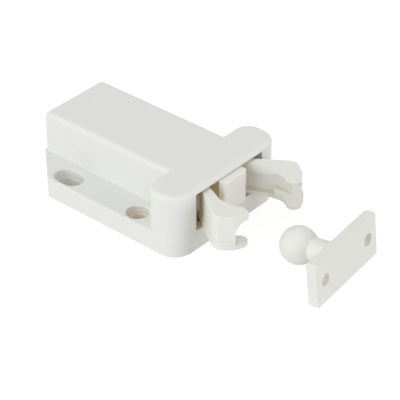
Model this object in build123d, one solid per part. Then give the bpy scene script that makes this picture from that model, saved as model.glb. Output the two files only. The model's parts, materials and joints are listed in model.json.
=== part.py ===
from build123d import *
import math
import os

# Push-to-open catch: a latch body that screws to a cabinet, and a ball strike for the door.
# Millimetres.  +Z points away from the mounting face, +X across the body and +Y from the
# front, where the jaws are, to the rear.  While the pieces are modelled, y = 0 is the
# front face.  On export they shift so that the origin lies on the mounting face, midway
# between the two front screw holes.

# ---- latch body ----
body_width = 38.0
body_length = 51.0
body_height = 16.8
box_width = 20.6
head_depth = 10.6
ear_front_radius = 5.0
ear_rear_radius = 4.3
flange_height = 5.6
flange_corner_run = 9.4
flange_rear_lip = 0.4
top_edge_radius = 1.2
rear_edge_radius = 0.6

side_wall = 1.4
top_wall = 1.2
front_wall = 2.0
rear_wall = 1.6
sill_height = 5.4
mouth_width = 24.3
mouth_depth = 7.5
mouth_taper_depth = 3.5

screw_edge_distance = 3.5
screw_front_depth = 15.5
screw_slot_end_distance = 12.9
screw_hole_diameter = 4.6
screw_slot_length = 7.2
screw_recess_margin = 0.5
screw_recess_depth = 2.4
screw_rim_chamfer = 0.2

ear_core_width = 3.6
ear_core_depth = 6.4
ear_core_roof = 1.8
ear_core_radius = 1.4

# ---- bottom cover ----
cover_thickness = 1.4
cover_edge_gap = 0.1
cover_rebate = 1.0
cover_front_gap = 0.8
rail_width = 1.5
rail_wall_gap = 0.2
snap_length = 4.0
snap_height = 1.2
snap_depth = 0.35
snap_clearance = 0.15
snap_first_depth = 14.0
snap_pitch = 26.0

# ---- slider ----
slider_stroke = 14.0
slider_side_gap = 0.15
slider_floor_gap = 0.15
slider_roof_gap = 0.25
slider_length = 30.0
cheek_thickness = 2.5
nose_reach = 1.9
nose_width = 8.4
nose_length = 1.7
nose_web_width = 4.8
nose_corner_radius = 0.7
stop_lug_width = 7.0
stop_lug_length = 2.4
stop_lug_depth = 2.2
stop_gap = 0.1
seat_wall = 5.4

# ---- jaws ----
jaw_room = 0.7
jaw_swing = 24.0
pivot_half_spacing = 5.5
pivot_depth = 6.0
pin_diameter = 2.0
pin_running_gap = 0.05
pin_roof = 0.75
knuckle_radius = 2.3
knuckle_gap = 0.1
cheek_radius = 2.7
jaw_side_gap = 0.15
jaw_inner_gap = 0.3
jaw_tip_gap = 0.7
jaw_foot_tip_gap = 0.7
jaw_lip_radius = 3.65
jaw_foot_lip_radius = 4.1
jaw_front_reach = 7.1
jaw_corner_radius = 3.2
jaw_bevel_length = 1.5
jaw_front_radius = 3.0
jaw_tip_round = 1.2
jaw_foot_tip_round = 2.0
jaw_facet_depth = 0.35
jaw_body_inset = 0.3
jaw_lean = 10.4
jaw_root_gap = 0.5
jaw_root_slant = 0.75
jaw_root_chamfer = 0.4
jaw_shoulder_height = 3.2
jaw_shoulder_cut = 2.4
jaw_pocket_gap = 0.2
jaw_channel_height = 3.6
jaw_channel_depth = 1.0
jaw_low_lip = 1.0
jaw_high_lip = 2.5
jaw_window_half = 3.3
jaw_window_flare = 1.3
jaw_window_flare_depth = 2.7
jaw_window_crown = 1.4
jaw_window_corner = 2.4
jaw_foot_height = 2.1
jaw_edge_chamfer = 0.25

# ---- strike ----
ball_diameter = 9.3
ball_seat_gap = 0.05
neck_diameter = 5.5
neck_foot_diameter = 6.0
neck_length = 10.2
neck_fillet = 0.6
plate_width = 26.0
plate_height = 11.4
plate_thickness = 2.8
plate_corner_radius = 0.4
plate_hole_spacing = 18.6
plate_hole_diameter = 3.2
plate_sink_diameter = 5.6
plate_sink_depth = 1.0
strike_ball_depth = -21.1
strike_yaw = 5.5

# ---- springs and follower ----
spring_diameter = 5.6
spring_wire = 0.55
spring_turns = 12
spring_rise = 0.7
spring_bore_gap = 0.3
spigot_diameter = 3.8
spigot_length = 3.0

follower_wire = 1.0
follower_reach = 14.0
follower_swing = 9.0
follower_pivot_depth = 41.0
follower_bend = 1.0
follower_hole_gap = 0.06
follower_drop = 0.95
follower_lift = 1.35
follower_boss_diameter = 3.4
follower_boss_gap = 0.4
track_width = 1.5
track_depth = 1.7
track_end_gap = 0.9
island_start = 2.8
island_end = 2.8
island_half_width = 1.15
island_cusp = 1.3

# ---- sizes that follow from these ----
channel_half = box_width / 2 - side_wall
cavity_top = body_height - top_wall
mid_height = (sill_height + cavity_top) / 2
slider_half = channel_half - slider_side_gap
slider_bottom = sill_height + slider_floor_gap
slider_top = cavity_top - slider_roof_gap
slider_body_depth = pivot_depth + cheek_radius
jaw_bottom = sill_height + jaw_room
jaw_top = cavity_top - jaw_room
screw_spacing = body_width - 2 * screw_edge_distance
screw_slot_depth = body_length - screw_slot_end_distance
knuckle_half = (slider_top - slider_bottom) / 2 - cheek_thickness - knuckle_gap
knuckle_mid = (slider_top + slider_bottom) / 2
ball_radius = ball_diameter / 2
seat_depth = -nose_reach - ball_radius - ball_seat_gap
spring_height = slider_bottom + track_depth + 0.85 + spring_diameter / 2 + spring_bore_gap
bore_bottom_depth = slider_body_depth + seat_wall
rear_wall_depth = body_length - rear_wall
flange_end = body_length + flange_rear_lip

strike_tilt = math.degrees(
    math.acos(ball_radius / math.hypot(plate_height / 2, neck_length))
    - math.atan2(neck_length, plate_height / 2)
)


def block(x0, x1, y0, y1, z0, z1):
    """A box between three pairs of limits."""
    return Pos((x0 + x1) / 2, (y0 + y1) / 2, (z0 + z1) / 2) * Box(x1 - x0, y1 - y0, z1 - z0)


def prism(points, z0, z1):
    """A straight-sided solid on a closed outline of (x, y) points."""
    return Pos(0, 0, z0) * extrude(make_face(Polyline(*points, close=True)), z1 - z0)


def upright(x, y, z0, z1, radius):
    """A cylinder along Z between two heights."""
    return Pos(x, y, (z0 + z1) / 2) * Cylinder(radius, z1 - z0)


def upright_edges(solid, x, y, reach=0.05):
    """The edges along Z that stand within reach of one corner of the plan."""
    return [
        edge
        for edge in solid.edges().filter_by(Axis.Z)
        if abs(edge.center().X - x) < reach and abs(edge.center().Y - y) < reach
    ]


def head_block():
    """The full-height crosspiece at the front, with rounded ears."""
    half = body_width / 2
    head = block(-half, half, 0, head_depth, 0, body_height)
    for x in (-half, half):
        head = fillet(upright_edges(head, x, 0), ear_front_radius)
        head = fillet(upright_edges(head, x, head_depth), ear_rear_radius)
    return head


def outer_form():
    """The head and the box behind it, with their upper edges rounded over."""
    box = block(-box_width / 2, box_width / 2, head_depth / 2, body_length, 0, body_height)
    for x in (-box_width / 2, box_width / 2):
        box = fillet(upright_edges(box, x, body_length), rear_edge_radius)
    form = head_block() + box
    rim = form.edges().filter_by_position(Axis.Z, body_height - 0.01, body_height + 0.01)
    return fillet(rim, top_edge_radius)


def flange_plate():
    """The low flange along both sides, its rear corners cut back to the box."""
    half = body_width / 2
    inner = box_width / 2
    start = flange_end - flange_corner_run
    points = [
        (-half, head_depth / 2), (half, head_depth / 2), (half, start),
        (inner, flange_end), (-inner, flange_end), (-half, start),
    ]
    return prism(points, 0, flange_height)


def mouth_void():
    """The jaw chamber: open at the front face, then narrowing to the slider's channel."""
    wide = mouth_width / 2
    throat = mouth_depth + mouth_taper_depth
    points = [
        (-wide, -1), (wide, -1), (wide, mouth_depth), (channel_half, throat),
        (channel_half, rear_wall_depth), (-channel_half, rear_wall_depth),
        (-channel_half, throat), (-wide, mouth_depth),
    ]
    return prism(points, sill_height, cavity_top)


def lower_void():
    """The space under the slider and the rebate that takes the bottom cover."""
    edge = channel_half + cover_rebate
    start = front_wall + cover_front_gap - cover_edge_gap
    void = block(-channel_half, channel_half, front_wall, rear_wall_depth, -1, sill_height + 0.01)
    void += block(-edge, edge, start, rear_wall_depth, -1, cover_thickness)
    for side in (-1, 1):
        for depth in (snap_first_depth, snap_first_depth + snap_pitch):
            void += snap_box(side, depth, snap_clearance)
    return void


def snap_box(side, depth, gap):
    """A snap lug on the side of a cover rail, or with a gap, the socket for it."""
    inner = channel_half - rail_wall_gap - 0.1
    outer = channel_half + snap_depth + gap
    low = cover_thickness + 1.0 - gap
    high = cover_thickness + 1.0 + snap_height + gap
    half = snap_length / 2 + gap
    return block(
        min(side * inner, side * outer), max(side * inner, side * outer),
        depth - half, depth + half, low, high,
    )


def screw_slot(length, width, z0, z1):
    """A lengthwise slot, or a round hole where its length equals its width."""
    if length - width < 0.01:
        outline = Circle(width / 2)
    else:
        outline = Rot(0, 0, 90) * SlotOverall(length, width)
    return Pos(0, 0, z0) * extrude(outline, z1 - z0)


def screw_void(length):
    """One stepped screw opening: a clear way through, a recess for the head and a broken rim."""
    width = screw_hole_diameter
    wide = 2 * screw_recess_margin
    seat = flange_height - screw_recess_depth
    recess = screw_slot(length + wide, width + wide, seat, flange_height + 1)
    rim = flange_height - screw_rim_chamfer
    flare = screw_slot(length + wide + 2, width + wide + 2, rim, rim + 2)
    flare = chamfer(flare.edges().group_by(Axis.Z)[0], 1)
    return screw_slot(length, width, -1, flange_height) + recess + flare


def screw_voids():
    """Two round openings at the front of the flange and two lengthwise ones at the rear."""
    front = screw_void(screw_hole_diameter)
    rear = screw_void(screw_slot_length)
    voids = Part()
    for x in (-screw_spacing / 2, screw_spacing / 2):
        voids += Pos(x, screw_front_depth, 0) * front
        voids += Pos(x, screw_slot_depth, 0) * rear
    return voids


def ear_cores():
    """The pockets that core the ears out from the mounting face."""
    middle = (mouth_width / 2 + body_width / 2) / 2
    outline = RectangleRounded(ear_core_width, ear_core_depth, ear_core_radius)
    core = extrude(outline, body_height - ear_core_roof + 1)
    cores = Part()
    for x in (-middle, middle):
        cores += Pos(x, head_depth / 2, -1) * core
    return cores


def spigot():
    """The peg on the rear wall that centres the main spring."""
    start = rear_wall_depth - spigot_length
    length = spigot_length + rear_wall / 2
    return Pos(0, start + length / 2, spring_height) * Rot(90, 0, 0) * Cylinder(spigot_diameter / 2, length)


def make_housing():
    housing = outer_form() + flange_plate()
    housing -= mouth_void()
    housing -= lower_void()
    housing -= screw_voids()
    housing -= ear_cores()
    housing += spigot()
    return housing


def make_cover():
    """The bottom cover: a plate with two rails, four snap lugs and the follower's boss."""
    half = channel_half + cover_rebate - cover_edge_gap
    start = front_wall + cover_front_gap
    end = rear_wall_depth - cover_edge_gap
    cover = block(-half, half, start, end, 0, cover_thickness)
    outer = channel_half - rail_wall_gap
    for side in (-1, 1):
        x0 = side * (outer - rail_width)
        x1 = side * outer
        cover += block(min(x0, x1), max(x0, x1), start + 1, end - 0.6, 0, sill_height)
        for depth in (snap_first_depth, snap_first_depth + snap_pitch):
            cover += snap_box(side, depth, 0)
    boss_top = follower_arm_height() - follower_wire / 2 - follower_boss_gap
    cover += upright(0, follower_pivot_depth, 0, boss_top, follower_boss_diameter / 2)
    hole = follower_wire / 2 + follower_hole_gap
    cover -= upright(0, follower_pivot_depth, cover_thickness / 2, boss_top + 1, hole)
    return cover


def follower_arm_height():
    return slider_bottom - follower_drop


def make_follower():
    """The bent wire whose raised tip runs in the slider's heart-shaped track."""
    low = cover_thickness / 2 + 0.1
    arm = follower_arm_height()
    high = slider_bottom + follower_lift
    tip = follower_pivot_depth - follower_reach
    path = FilletPolyline(
        (0, follower_pivot_depth, low), (0, follower_pivot_depth, arm),
        (0, tip, arm), (0, tip, high), radius=follower_bend,
    )
    start = Plane((0, follower_pivot_depth, low), z_dir=(0, 0, 1))
    return sweep(start * Circle(follower_wire / 2), path=path)


def follower_tip(travel):
    """Where the follower's tip lies over the slider when the slider has gone in by travel."""
    angle = math.radians(follower_swing * travel / slider_stroke)
    x = -follower_reach * math.sin(angle)
    return x, follower_pivot_depth - follower_reach * math.cos(angle) - travel


def track_void():
    """The heart track: a groove that runs round an island with a catching cusp."""
    half = track_width / 2
    start_x, start_y = follower_tip(0)
    end_x, end_y = follower_tip(slider_stroke)
    rear = start_y + half + 0.2
    front = end_y - track_end_gap
    right = island_half_width + track_width
    outer = [
        (start_x - half, rear), (end_x - half, end_y + 0.8), (end_x - half, end_y - 0.3),
        (end_x, front), (right - 1.2, front), (right, end_y + 1.2),
        (right, end_y + 7.0), (start_x + half, rear),
    ]
    apex_x, apex_y = follower_tip(island_start)
    foot_x, foot_y = follower_tip(slider_stroke - island_end)
    island = [
        (apex_x + half + 0.1, apex_y), (foot_x + half + 0.1, foot_y),
        (foot_x + half + 0.4, foot_y - 0.3), (0.0, foot_y + island_cusp),
        (island_half_width - 0.35, foot_y - 0.3), (island_half_width, foot_y + 0.4),
    ]
    low = slider_bottom - 1
    high = slider_bottom + track_depth
    return prism(outer, low, high) - prism(island, low - 1, high + 1)


def nose():
    """The blunt push face between the jaws and the web that carries it."""
    half = nose_width / 2
    web = nose_web_width / 2
    taper = half - web
    back = -nose_reach + nose_length
    outline = [
        (-half, -nose_reach), (half, -nose_reach), (half, back), (web, back + taper),
        (-web, back + taper), (-half, back),
    ]
    face = prism(outline, jaw_bottom, slider_top)
    face = fillet(face.edges().group_by(Axis.Y)[0], nose_corner_radius)
    body = block(-web, web, -nose_reach + 0.5, slider_body_depth + 1, jaw_bottom, jaw_top)
    return face + body


def cheek(z0, z1):
    """One of the two plates that hold the jaw pins, rounded about each pin."""
    plate = block(-slider_half, slider_half, pivot_depth, slider_body_depth + 1, z0, z1)
    for x in (-pivot_half_spacing, pivot_half_spacing):
        plate += upright(x, pivot_depth, z0, z1, cheek_radius)
    inner = pivot_half_spacing - cheek_radius + 0.8
    plate += block(-inner, inner, front_wall + stop_gap, slider_body_depth, z0, z1)
    outer = slider_half
    trim = pivot_half_spacing + cheek_radius
    if outer > trim:
        plate -= block(trim, outer + 1, pivot_depth - 1, pivot_depth + 1, z0 - 1, z1 + 1)
        plate -= block(-outer - 1, -trim, pivot_depth - 1, pivot_depth + 1, z0 - 1, z1 + 1)
    return plate


def make_slider():
    """The carriage: nose, cheeks, spring bore, stop lug and the heart track beneath."""
    slider = block(
        -slider_half, slider_half, slider_body_depth, slider_length, slider_bottom, slider_top
    )
    slider += nose()
    slider += cheek(slider_bottom, slider_bottom + cheek_thickness)
    slider += cheek(slider_top - cheek_thickness, slider_top)
    lug_start = front_wall + stop_gap
    slider += block(
        -stop_lug_width / 2, stop_lug_width / 2, lug_start, lug_start + stop_lug_length,
        slider_bottom - stop_lug_depth, slider_bottom + cheek_thickness / 2,
    )
    bore_length = slider_length - bore_bottom_depth + 1
    bore = Cylinder(spring_diameter / 2 + spring_bore_gap, bore_length)
    slider -= Pos(0, bore_bottom_depth + bore_length / 2, spring_height) * Rot(90, 0, 0) * bore
    slider -= track_void()
    for x in (-pivot_half_spacing, pivot_half_spacing):
        slider -= upright(x, pivot_depth, slider_bottom - 1, slider_top - pin_roof, pin_diameter / 2)
    return slider


def make_pin(side):
    """A steel pivot pin, pressed through the slider's two cheeks."""
    x = side * pivot_half_spacing
    return upright(x, pivot_depth, slider_bottom + 0.15, slider_top - pin_roof, pin_diameter / 2)


def jaw_outline(root_cut, foot=False):
    """The shut right jaw's plan: a tapering arm that hooks round the ball.

    The root corner on the outer side is cut back by root_cut along the arm. The foot stands
    proud of the body all round, and only the body has the flat across its front corner.
    """
    inset = 0 if foot else jaw_body_inset
    lip = jaw_foot_lip_radius if foot else jaw_lip_radius
    tip_gap = jaw_foot_tip_gap if foot else jaw_tip_gap
    tip_round = jaw_foot_tip_round if foot else jaw_tip_round
    widest = channel_half - jaw_side_gap - inset
    inner = nose_width / 2 + jaw_inner_gap
    root = pivot_depth - cheek_radius - jaw_root_gap
    front = seat_depth - jaw_front_reach + inset
    slope = Vector(0.5, -math.sqrt(3) / 2)
    bevel = Vector(slope.Y, -slope.X) * jaw_bevel_length
    ahead = Vector(widest - jaw_corner_radius, 0)
    small = slope * jaw_front_radius
    large = slope * jaw_corner_radius
    centre_y = front + jaw_front_radius + small.Y - bevel.Y - large.Y
    corner_centre = ahead + Vector(0, centre_y)
    bevel_start = corner_centre + large
    bevel_end = bevel_start + bevel
    front_centre = bevel_end - small
    lean = math.radians(jaw_lean)
    turn = lean / 2 - math.pi / 6
    corner_start = corner_centre + Vector(math.cos(lean), math.sin(lean)) * jaw_corner_radius
    corner_middle = corner_centre + Vector(math.cos(turn), math.sin(turn)) * jaw_corner_radius
    quarter = math.radians(75)
    front_middle = front_centre + Vector(math.cos(quarter), -math.sin(quarter)) * jaw_front_radius
    front_end = Vector(front_centre.X, front)
    run = root - root_cut - corner_start.Y
    side_end = corner_start + Vector(-run * math.tan(lean), run)
    root_x = side_end.X - root_cut * jaw_root_slant

    def on_lip(angle):
        turned = math.radians(angle)
        return Vector(lip * math.cos(turned), seat_depth + lip * math.sin(turned))

    tip_corner = Vector(tip_gap, front + tip_round)
    edges = [
        Line((inner, root), (root_x, root)),
        Line((root_x, root), side_end),
        Line(side_end, corner_start),
        ThreePointArc(corner_start, corner_middle, bevel_start),
        Line(bevel_start, bevel_end),
        ThreePointArc(bevel_end, front_middle, front_end),
        Line(front_end, (tip_gap + tip_round, front)),
        RadiusArc((tip_gap + tip_round, front), tip_corner, tip_round),
        Line(tip_corner, on_lip(-72)),
        ThreePointArc(on_lip(-72), on_lip(-46), on_lip(-20)),
        Line(on_lip(-20), (inner, seat_depth + 1.6)),
        Line((inner, seat_depth + 1.6), (inner, root)),
    ]
    outline = make_face(Wire(edges))
    if foot:
        return outline
    size = jaw_corner_radius
    trim = Pos(size - jaw_facet_depth, 0) * Rectangle(2 * size, 4 * size)
    return outline - Pos(bevel_start.X, bevel_start.Y) * Rot(0, 0, -60) * trim


def window_outline(half, sill, crown, corner):
    """The neck's window seen from the front: square at the sill, round at the crown."""
    outline = Pos(0, (sill + crown) / 2) * Rectangle(2 * half, crown - sill)
    return fillet(outline.vertices().group_by(Axis.Y)[-1], corner)


def neck_window():
    """The window in the jaws' front wall, flared forward like the neck that it lets through."""
    sill = jaw_bottom + jaw_low_lip
    crown = jaw_top - jaw_window_crown
    front = seat_depth - jaw_front_reach
    ahead = Plane((0, front, 0), x_dir=(1, 0, 0), z_dir=(0, -1, 0))
    throat = Plane((0, front + jaw_window_flare_depth, 0), x_dir=(1, 0, 0), z_dir=(0, -1, 0))
    seat = Plane((0, seat_depth, 0), x_dir=(1, 0, 0), z_dir=(0, -1, 0))
    narrow = window_outline(jaw_window_half, sill, crown, jaw_window_corner)
    wide = window_outline(
        jaw_window_half + jaw_window_flare, sill, crown, jaw_window_corner + jaw_window_flare
    )
    window = extrude(seat * narrow, jaw_front_reach)
    return window + loft([throat * narrow, ahead * wide])


def jaw_pockets():
    """The ball's seat, the window for the neck and the channel inside the arm."""
    ball = Pos(0, seat_depth, mid_height) * Sphere(ball_radius + jaw_pocket_gap)
    half = jaw_channel_height / 2
    band = upright(0, seat_depth, mid_height - half, mid_height + half, ball_radius + jaw_channel_depth)
    inner = nose_width / 2 + jaw_inner_gap
    root = pivot_depth - cheek_radius - jaw_root_gap
    floor = inner + jaw_channel_depth
    low = jaw_bottom + jaw_low_lip
    high = jaw_top - jaw_high_lip
    channel = block(inner - 1, floor, seat_depth, root - 1.2, low, high)
    channel = fillet(channel.edges().filter_by(Axis.Z).group_by(Axis.X)[-1], 0.5)
    return ball + band + channel + neck_window()


def make_jaw_shut():
    """The right jaw in its shut place round the ball."""
    foot = jaw_bottom + jaw_foot_height
    step = jaw_bottom + jaw_shoulder_height
    jaw = Pos(0, 0, jaw_bottom) * extrude(jaw_outline(jaw_root_chamfer, foot=True), jaw_foot_height)
    jaw += Pos(0, 0, foot) * extrude(jaw_outline(jaw_root_chamfer), step - foot)
    upper = Pos(0, 0, step) * extrude(jaw_outline(jaw_shoulder_cut), jaw_top - step)
    rim = upper.edges().filter_by_position(Axis.Z, jaw_top - 0.01, jaw_top + 0.01)
    outside = [edge for edge in rim if edge.center().X > pivot_half_spacing + 1]
    jaw += chamfer(outside, jaw_edge_chamfer)
    jaw -= jaw_pockets()
    low = knuckle_mid - knuckle_half
    high = knuckle_mid + knuckle_half
    jaw += upright(pivot_half_spacing, pivot_depth, low, high, knuckle_radius)
    root = pivot_depth - cheek_radius - jaw_root_gap
    half = knuckle_radius * 0.8
    jaw += block(
        pivot_half_spacing - half, pivot_half_spacing + half, root - 1.4, pivot_depth, low, high
    )
    hole = pin_diameter / 2 + pin_running_gap
    jaw -= upright(pivot_half_spacing, pivot_depth, low - 1, high + 1, hole)
    return jaw


def make_jaw(side):
    """One jaw as it stands when the catch is open, swung out about its pin."""
    jaw = make_jaw_shut()
    turn = Pos(pivot_half_spacing, pivot_depth, 0) * Rot(0, 0, jaw_swing)
    jaw = turn * Pos(-pivot_half_spacing, -pivot_depth, 0) * jaw
    if side < 0:
        jaw = mirror(jaw, Plane.YZ)
    return jaw


def make_spring():
    """The main spring: a coil that lies along Y from the slider's bore to the rear wall.

    Its wire is drawn with six flats, which keeps the coil light.
    """
    start = bore_bottom_depth + spring_wire / 2
    length = rear_wall_depth - bore_bottom_depth - spring_wire
    radius = (spring_diameter - spring_wire) / 2
    path = Helix(length / spring_turns, length, radius)
    section = Plane(path @ 0, z_dir=path % 0) * RegularPolygon(spring_wire / 2, 6)
    coil = sweep(section, path=path, is_frenet=True)
    return Pos(0, start, spring_height) * Rot(-90, 0, 0) * coil


def make_strike():
    """The ball, its neck and the screw plate behind it, with +Y towards the catch."""
    plate = Pos(0, -neck_length - plate_thickness / 2, 0) * Box(plate_width, plate_thickness, plate_height)
    plate = fillet(plate.edges().filter_by(Axis.Y), plate_corner_radius)
    neck = Rot(90, 0, 0) * Cone(neck_diameter / 2, neck_foot_diameter / 2, neck_length + 0.5)
    strike = plate + Pos(0, -(neck_length + 0.5) / 2, 0) * neck
    foot = [
        edge for edge in strike.edges().filter_by(GeomType.CIRCLE)
        if abs(edge.center().Y + neck_length) < 0.01
    ]
    strike = fillet(foot, neck_fillet)
    strike += Sphere(ball_radius)
    for x in (-plate_hole_spacing / 2, plate_hole_spacing / 2):
        strike -= Pos(x, -neck_length, 0) * Rot(90, 0, 0) * Cylinder(plate_hole_diameter / 2, 3 * plate_thickness)
        sink = Cone(plate_sink_diameter / 2, plate_hole_diameter / 2, plate_sink_depth)
        strike -= Pos(x, -neck_length - plate_sink_depth / 2, 0) * Rot(90, 0, 0) * sink
    return strike


def place_strike(strike):
    """Lay the strike down in front of the catch, on its ball and its plate's lower edge."""
    return Pos(0, strike_ball_depth, ball_radius) * Rot(0, 0, strike_yaw) * Rot(-strike_tilt, 0, 0) * strike


def make_parts():
    """Every piece by its node name, standing where it belongs."""
    return {
        "housing": make_housing(),
        "cover": make_cover(),
        "slider": make_slider(),
        "jaw_left": make_jaw(-1),
        "jaw_right": make_jaw(1),
        "pin_left": make_pin(-1),
        "pin_right": make_pin(1),
        "main_spring": make_spring(),
        "cam_follower": make_follower(),
        "strike": place_strike(make_strike()),
    }


if __name__ == "__main__":
    os.makedirs("parts", exist_ok=True)
    for name, shape in make_parts().items():
        shape = Pos(0, -screw_front_depth, 0) * shape
        export_step(shape, "parts/" + name + ".step")
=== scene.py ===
# %% [markdown]
# # A push-to-open catch
#
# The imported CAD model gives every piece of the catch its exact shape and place.  This
# lesson dresses it: a white moulded plastic that looks right under soft light, drawn
# steel for the pins, a real coil in place of the plain one, and a small studio round it.

# %% Load the frame
import json

import bpy
import numpy as np
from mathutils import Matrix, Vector


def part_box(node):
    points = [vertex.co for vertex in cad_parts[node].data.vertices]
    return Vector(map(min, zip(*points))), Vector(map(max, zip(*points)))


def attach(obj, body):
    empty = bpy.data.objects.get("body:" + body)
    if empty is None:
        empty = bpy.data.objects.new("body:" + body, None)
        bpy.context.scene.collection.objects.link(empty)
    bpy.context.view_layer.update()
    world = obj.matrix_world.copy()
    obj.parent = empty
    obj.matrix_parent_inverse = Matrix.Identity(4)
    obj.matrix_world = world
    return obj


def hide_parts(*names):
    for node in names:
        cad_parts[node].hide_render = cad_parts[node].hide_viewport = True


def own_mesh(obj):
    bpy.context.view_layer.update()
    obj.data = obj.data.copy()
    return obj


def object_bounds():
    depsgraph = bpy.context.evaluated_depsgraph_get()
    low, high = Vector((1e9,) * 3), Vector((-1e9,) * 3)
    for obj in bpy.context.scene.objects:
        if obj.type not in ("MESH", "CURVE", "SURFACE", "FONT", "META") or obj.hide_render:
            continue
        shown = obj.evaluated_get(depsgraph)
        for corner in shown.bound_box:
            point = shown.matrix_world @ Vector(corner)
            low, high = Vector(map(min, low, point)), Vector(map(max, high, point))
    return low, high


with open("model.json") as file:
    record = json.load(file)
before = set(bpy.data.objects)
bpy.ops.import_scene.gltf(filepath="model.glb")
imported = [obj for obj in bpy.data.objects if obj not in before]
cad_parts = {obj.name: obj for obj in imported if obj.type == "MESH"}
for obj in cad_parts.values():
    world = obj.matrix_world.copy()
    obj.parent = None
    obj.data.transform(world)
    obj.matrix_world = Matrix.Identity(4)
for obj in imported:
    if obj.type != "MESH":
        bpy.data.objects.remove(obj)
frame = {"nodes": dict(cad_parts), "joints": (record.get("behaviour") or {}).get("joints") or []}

cad_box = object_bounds()
nodes = frame["nodes"]
print("nodes:", sorted(nodes))

# %% [markdown]
# Lengths below are in millimetres wherever they describe a piece, because that is how a
# moulder reads a drawing.  Blender works in metres, so one constant turns them.

# %% Units
MM = 0.001

housing_low, housing_high = np.array(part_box("housing"))
print("housing (mm):", np.round((housing_high - housing_low) / MM, 2))

# %% [markdown]
# ## The floor
#
# A small white product is shown on a white sweep.  It could stand on a curved backdrop,
# but a plain square is enough, because the world behind it is white too.  The camera
# should see the floor as white, yet a soft shadow has to stay under the catch.  So for
# the camera, and for glossy surfaces that mirror it, the floor is a steady glow with a
# weak matt surface added, and the matt part is what carries the shadow.  Every other ray
# meets an ordinary pale floor, so that the floor throws back a natural amount of light.


# %% Materials and their nodes
def new_material(name):
    """A new material and its node tree."""
    material = bpy.data.materials.new(name)
    material.use_nodes = True
    return material, material.node_tree


def add_node(tree, kind, inputs=None):
    """A new shader node of a kind, with the named inputs set."""
    node = tree.nodes.new("ShaderNode" + kind)
    for name, value in (inputs or {}).items():
        node.inputs[name].default_value = value
    return node


# %% Which rays see the backdrop
def backdrop_rays(tree):
    """1 for rays that come from the camera, from a gloss or through glass, else 0."""
    path = add_node(tree, "LightPath")
    seen = path.outputs["Is Camera Ray"]
    for kind in ("Is Glossy Ray", "Is Transmission Ray"):
        either = add_node(tree, "Math")
        either.operation = "MAXIMUM"
        tree.links.new(seen, either.inputs[0])
        tree.links.new(path.outputs[kind], either.inputs[1])
        seen = either.outputs[0]
    return seen


def show_and_light(tree, shown, lighting, output_kind):
    """Gives one surface to the rays that see the backdrop and another to all others."""
    choose = add_node(tree, "MixShader")
    tree.links.new(backdrop_rays(tree), choose.inputs[0])
    tree.links.new(lighting.outputs[0], choose.inputs[1])
    tree.links.new(shown.outputs[0], choose.inputs[2])
    output = add_node(tree, output_kind)
    tree.links.new(choose.outputs[0], output.inputs["Surface"])


# %% Floor material
WHITE = (1, 1, 1, 1)


def floor_finish():
    """White with a soft shadow for the camera, plain pale matt for all other light."""
    material, tree = new_material("studio_floor")
    tree.nodes.clear()
    matt = add_node(tree, "BsdfDiffuse", {"Color": (0.80, 0.80, 0.79, 1)})
    shadow = add_node(tree, "BsdfDiffuse", {"Color": (0.20, 0.20, 0.20, 1)})
    glow = add_node(tree, "Emission", {"Color": WHITE, "Strength": 0.86})
    shown = add_node(tree, "AddShader")
    tree.links.new(shadow.outputs[0], shown.inputs[0])
    tree.links.new(glow.outputs[0], shown.inputs[1])
    show_and_light(tree, shown, matt, "OutputMaterial")
    return material


# %% Floor
def add_object(name, data):
    """A new object in the scene for a mesh, a lamp or a camera."""
    thing = bpy.data.objects.new(name, data)
    bpy.context.collection.objects.link(thing)
    return thing


def add_mesh(name, points, faces, material):
    """A new mesh object in one material, from an array of points and a list of faces."""
    mesh = bpy.data.meshes.new(name)
    mesh.from_pydata(points.tolist(), [], faces)
    mesh.materials.append(material)
    return add_object(name, mesh)


floor_half = 3.0
room_under_catch = 0.05 * MM
floor_height = cad_box[0][2] - room_under_catch
floor_corners = np.array([(-1, -1, 0), (1, -1, 0), (1, 1, 0), (-1, 1, 0)], dtype=float)
floor_corners[:, :2] *= floor_half
floor_corners[:, 2] = floor_height
floor = add_mesh("floor", floor_corners, [(0, 1, 2, 3)], floor_finish())
print("floor height (mm):", round(floor_height / MM, 2))

# %% [markdown]
# ## The sky
#
# A light tent surrounds a small product with even white light.  A plain world colour
# does the same: it fills every shadow a little, and the camera sees it as pure white.

# %% World
world = bpy.data.worlds.new("studio")
bpy.context.scene.world = world
world.use_nodes = True
sky = world.node_tree
sky.nodes.clear()
tent = add_node(sky, "Background", {"Color": (1.0, 0.995, 0.98, 1), "Strength": 0.62})
backdrop = add_node(sky, "Background", {"Color": WHITE, "Strength": 1.0})
show_and_light(sky, backdrop, tent, "OutputWorld")
print("tent strength:", round(tent.inputs["Strength"].default_value, 2))

# %% [markdown]
# ## The lamps
#
# Three broad lamps stand about a metre from the catch.  The one on the left is the
# strongest, so the long left side is the brightest and the walls between the jaws fall
# into soft shade.  The one in front lights the nose and the strike's neck, and a weak one
# overhead keeps the flat top even.  A lamp's size against its distance sets how soft its
# shade is.  Their sizes and distances are in metres.


# %% Lamps
def turn_to(thing, aim):
    """Turns a lamp or a camera, which looks along its own -Z, to face a point."""
    thing.rotation_euler = (aim - thing.location).to_track_quat("-Z", "Y").to_euler()


catch_middle = Vector((0, -0.005, 0.008))


def soft_lamp(name, offset, size, watts):
    """A square lamp that stands off from the catch's middle and faces it."""
    data = bpy.data.lights.new(name, "AREA")
    data.shape = "SQUARE"
    data.size = size
    data.energy = watts
    lamp = add_object(name, data)
    lamp.location = catch_middle + Vector(offset)
    turn_to(lamp, catch_middle)


soft_lamp("side_lamp", (-0.93, 0.10, 0.35), size=0.7, watts=3.9)
soft_lamp("front_lamp", (0.35, -0.90, 0.30), size=0.8, watts=3.1)
soft_lamp("top_lamp", (-0.15, 0.25, 0.95), size=0.7, watts=1.0)
print("lamps:", [lamp.name for lamp in bpy.data.lights])

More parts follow.
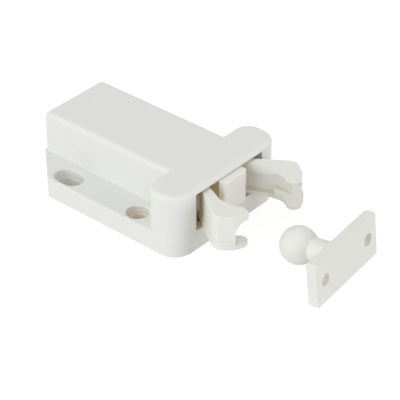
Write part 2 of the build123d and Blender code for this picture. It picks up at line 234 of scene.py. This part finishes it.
# %% [markdown]
# White walls that face each other pass light back and forth many times.  The renderer
# follows four matt bounces unless told otherwise, which leaves narrow gaps too dark.

# %% Bounces
bpy.context.scene.cycles.diffuse_bounces = 12
print("matt bounces:", bpy.context.scene.cycles.diffuse_bounces)

# %% [markdown]
# ## The camera
#
# A long lens from the front left and above keeps the box's long edges nearly parallel,
# as in a catalogue picture.  Turning the camera to face a point saves working out angles.

# %% Camera
camera_data = bpy.data.cameras.new("camera")
camera_data.sensor_width = 36.0
camera_data.lens = 157.6
camera_data.clip_start = 0.01
camera_data.clip_end = 20.0
camera = add_object("camera", camera_data)
camera.location = Vector((-264.5, -232.9, 245.3)) * MM
look_at = Vector((3.36, -3.38, 0.61)) * MM
turn_to(camera, look_at)
bpy.context.scene.camera = camera
bpy.context.scene.view_settings.view_transform = "Standard"
print("camera to catch (mm):", round((look_at - camera.location).length / MM))

# %% [markdown]
# ## White moulded plastic
#
# The body, its cover, the slider, the jaws and the strike are moulded in a white plastic
# such as nylon.  It is never one flat colour.  The melt flows unevenly, so its tone
# drifts a little over a few millimetres.  The mould was spark-eroded, so the skin has a
# fine grain that spreads the shine.  And light that goes round inside a recess passes
# the pale wall many times and comes back warmer.  Traced light shows too little of that,
# so light and shade are painted into a recess: its tone is taken towards a warm cream,
# by how closed in it is.


# %% Plastic: tone
def drifting_tone(tree, coords, colour, least, scale, detail):
    """A colour whose lightness drifts with a noise, from the least share of it to all."""
    drift = add_node(tree, "TexNoise", {"Scale": scale, "Detail": detail})
    tree.links.new(coords.outputs["Object"], drift.inputs["Vector"])
    darkest = (*[c * least for c in colour], 1)
    tone = add_node(tree, "MixRGB", {"Color1": darkest, "Color2": (*colour, 1)})
    tree.links.new(drift.outputs["Fac"], tone.inputs["Fac"])
    return tone.outputs["Color"]


# %% Plastic: painted light and shade in recesses
# Below this share of open sky, a recess takes the full painted light and shade.
shut_in = 0.05


def paint_recess_light(tree, open_tone, painted_recess_colour, reach, free):
    """The open tone where the surface is free, and a painted colour of light and shade where
    walls close it in.

    A wall counts where it is nearer than the reach.  The tone is all the painted recess colour
    where the share of sky that no wall hides is below shut_in, and all open where it is above
    free.
    """
    sky_share = add_node(tree, "AmbientOcclusion", {"Distance": reach})
    sky_share.samples = 8
    openness = add_node(tree, "MapRange", {"From Min": shut_in, "From Max": free})
    tree.links.new(sky_share.outputs["AO"], openness.inputs["Value"])
    # The painted light and shade: the recess colour is mixed in by how closed in the surface is.
    painted_recess = add_node(tree, "MixRGB", {"Color1": (*painted_recess_colour, 1)})
    tree.links.new(openness.outputs["Result"], painted_recess.inputs["Fac"])
    tree.links.new(open_tone, painted_recess.inputs["Color2"])
    return painted_recess.outputs["Color"]


# %% Plastic: grain
def moulded_skin(tree, coords):
    """A fine eroded grain, raised by a hundredth of a millimetre at most."""
    grain = add_node(tree, "TexNoise", {"Scale": 5200.0, "Detail": 2.0})
    tree.links.new(coords.outputs["Object"], grain.inputs["Vector"])
    bump = add_node(tree, "Bump", {"Strength": 0.12, "Distance": 0.01 * MM})
    tree.links.new(grain.outputs["Fac"], bump.inputs["Height"])
    return bump.outputs["Normal"]


# %% Plastic
def moulded_plastic(name, colour, painted_recess_colour, reach, free):
    """Satin moulded plastic with a drifting tone, painted light and shade in recesses and a fine
    grain.
    """
    material, tree = new_material(name)
    shader = tree.nodes["Principled BSDF"]
    shader.inputs["Roughness"].default_value = 0.5
    shader.inputs["Specular IOR Level"].default_value = 0.28
    coords = add_node(tree, "TexCoord")
    open_tone = drifting_tone(tree, coords, colour, least=0.97, scale=240.0, detail=3.0)
    # The tone of a recess is painted light and shade, taken towards a warm colour where walls
    # close it in.
    tone = paint_recess_light(tree, open_tone, painted_recess_colour, reach, free)
    tree.links.new(tone, shader.inputs["Base Color"])
    tree.links.new(moulded_skin(tree, coords), shader.inputs["Normal"])
    return material


# %% [markdown]
# Three batches of the plastic differ a little: one for the body, one for the pieces that
# move in its mouth, and one for the strike.  The reach is longest for the pieces in the
# mouth, because the jaws stand well apart and still shade each other.  Every CAD piece
# comes with one plain material, and these take its place.


# %% The three whites
def dress(names, material):
    """Puts a material on some of the CAD pieces in place of their plain one."""
    for name in names:
        nodes[name].material_slots[0].material = material
    print(material.name, "on", ", ".join(names))


# Each white's recess colour is painted light and shade, mixed into its recesses by how closed in
# they are.
housing_white = moulded_plastic(
    "housing_white", (0.795, 0.805, 0.78), painted_recess_colour=(0.88, 0.76, 0.56), reach=6 * MM, free=0.3
)
jaw_white = moulded_plastic(
    "jaw_white", (0.82, 0.82, 0.79), painted_recess_colour=(0.79, 0.71, 0.55), reach=14 * MM, free=0.55
)
strike_white = moulded_plastic(
    "strike_white", (0.815, 0.82, 0.785), painted_recess_colour=(0.89, 0.88, 0.83), reach=6 * MM, free=0.8
)
dress(("housing", "cover"), housing_white)
dress(("slider", "jaw_left", "jaw_right"), jaw_white)
dress(("strike",), strike_white)

# %% [markdown]
# ## Drawn steel
#
# Pins, follower and spring are cut from drawn wire, a bright metal through and through.
# The die leaves lines along it that are too fine to be seen one by one on such small
# pieces, so a finely uneven tone stands for them.


# %% Steel
def drawn_steel(name, colour, roughness):
    """Bright metal with a finely uneven tone."""
    material, tree = new_material(name)
    shader = tree.nodes["Principled BSDF"]
    shader.inputs["Metallic"].default_value = 1.0
    shader.inputs["Roughness"].default_value = roughness
    coords = add_node(tree, "TexCoord")
    tone = drifting_tone(tree, coords, colour, least=0.8, scale=900.0, detail=2.0)
    tree.links.new(tone, shader.inputs["Base Color"])
    return material


bright_steel = drawn_steel("bright_steel", (0.62, 0.61, 0.58), roughness=0.3)
dress(("pin_left", "pin_right", "cam_follower"), bright_steel)

# %% [markdown]
# ## The main spring
#
# The spring that pushes the slider out is wound from one length of steel wire.  Most of
# the last turn at each end lies closed against the next and is ground flat, so that the
# spring stands square in its bore.  A tube along a curve could show the winding, but it
# can't be ground, so the surface is computed: one parameter runs along the wire and one
# goes round it.

# %% Coil: where the wire's middle goes
closed_turns = 0.75
easing_turns = 0.5


def coil_line(length, wire, turns, steps):
    """Angle and place along the axis of the wire's middle, from one end to the other.

    The angle grows evenly, to a full circle for each turn.  Over the closed turns at each
    end, the rise for each turn is one wire's thickness.  Over the easing turns it grows
    smoothly to the free pitch, which is chosen so that all the rises fill the length.
    """
    turn = np.linspace(0, turns, steps + 1)
    from_end = np.minimum(turn, turns - turn)
    eased = np.clip(from_end - closed_turns, 0, easing_turns) / easing_turns
    eased = eased * eased * (3 - 2 * eased)
    rise = np.concatenate([[0], np.cumsum((eased[1:] + eased[:-1]) / 2)]) / steps * turns
    free_gap = (length - wire * turns) / rise[-1]
    return 2 * np.pi * turn, wire * turn + free_gap * rise


# %% Coil: the surface
def coil_surface(low, high, wire, turns, around=12, steps_per_turn=40):
    """Vertices and faces of a coil along Y that fills a box, with its ends ground flat.

    A point lies half the wire's thickness from the wire's middle, at one angle round it,
    in the plane of two directions: away from the coil's axis, and square to both that and
    the wire.  The wire's middle starts and ends a quarter of its thickness inside the end
    planes.  What passes them is pressed back onto them, as the grinding does.
    """
    middle = (low + high) / 2
    radius = (high[0] - low[0] - wire) / 2
    inset = wire / 4
    steps = turns * steps_per_turn
    angle, along = coil_line(high[1] - low[1] - 2 * inset, wire, turns, steps)
    outward = np.stack([np.cos(angle), 0 * angle, np.sin(angle)], 1)
    line = radius * outward
    line[:, 1] = along + inset
    course = np.gradient(line, axis=0)
    course /= np.linalg.norm(course, axis=1)[:, None]
    across = np.cross(course, outward)
    round_wire = np.linspace(0, 2 * np.pi, around, endpoint=False)[None, :, None]
    ring = np.cos(round_wire) * outward[:, None] + np.sin(round_wire) * across[:, None]
    points = line[:, None] + wire / 2 * ring + np.array([middle[0], low[1], middle[2]])
    points[..., 1] = np.clip(points[..., 1], low[1], high[1])

    ring_start = np.arange(steps)[:, None] * around
    here = ring_start + np.arange(around)
    beside = ring_start + np.roll(np.arange(around), -1)
    quads = np.stack([here, beside, beside + around, here + around], -1)
    start_cap = list(range(around))[::-1]
    end_cap = list(range(steps * around, (steps + 1) * around))
    return points.reshape(-1, 3), quads.reshape(-1, 4).tolist() + [start_cap, end_cap]


# %% Coil: the spring
spring_low, spring_high = np.array(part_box("main_spring"))
spring_wire = 0.55 * MM
spring_turns = 12
spring_points, spring_faces = coil_surface(
    spring_low, spring_high, spring_wire, spring_turns
)
spring = add_mesh("coil_spring", spring_points, spring_faces, bright_steel)
spring.data.polygons.foreach_set("use_smooth", [True] * len(spring_faces))
print("spring faces:", len(spring_faces))

# %% [markdown]
# The spring stands against the body's rear wall, and its front end goes with the slider.
# The real spring flattens towards the wall as the slider goes in; here it only rides on
# the body.  What is left of its length follows from the slider's own travel.

# %% Coil: how it moves
slide = next(joint for joint in frame["joints"] if joint["name"] == "slider_slide")
travel = slide["range_m"][1]
free_length = spring_high[1] - spring_low[1]
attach(spring, "body")
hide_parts("main_spring")
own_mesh(spring)
lengths = np.array([free_length, free_length - travel])
print("spring free and pressed (mm):", np.round(lengths / MM, 2))
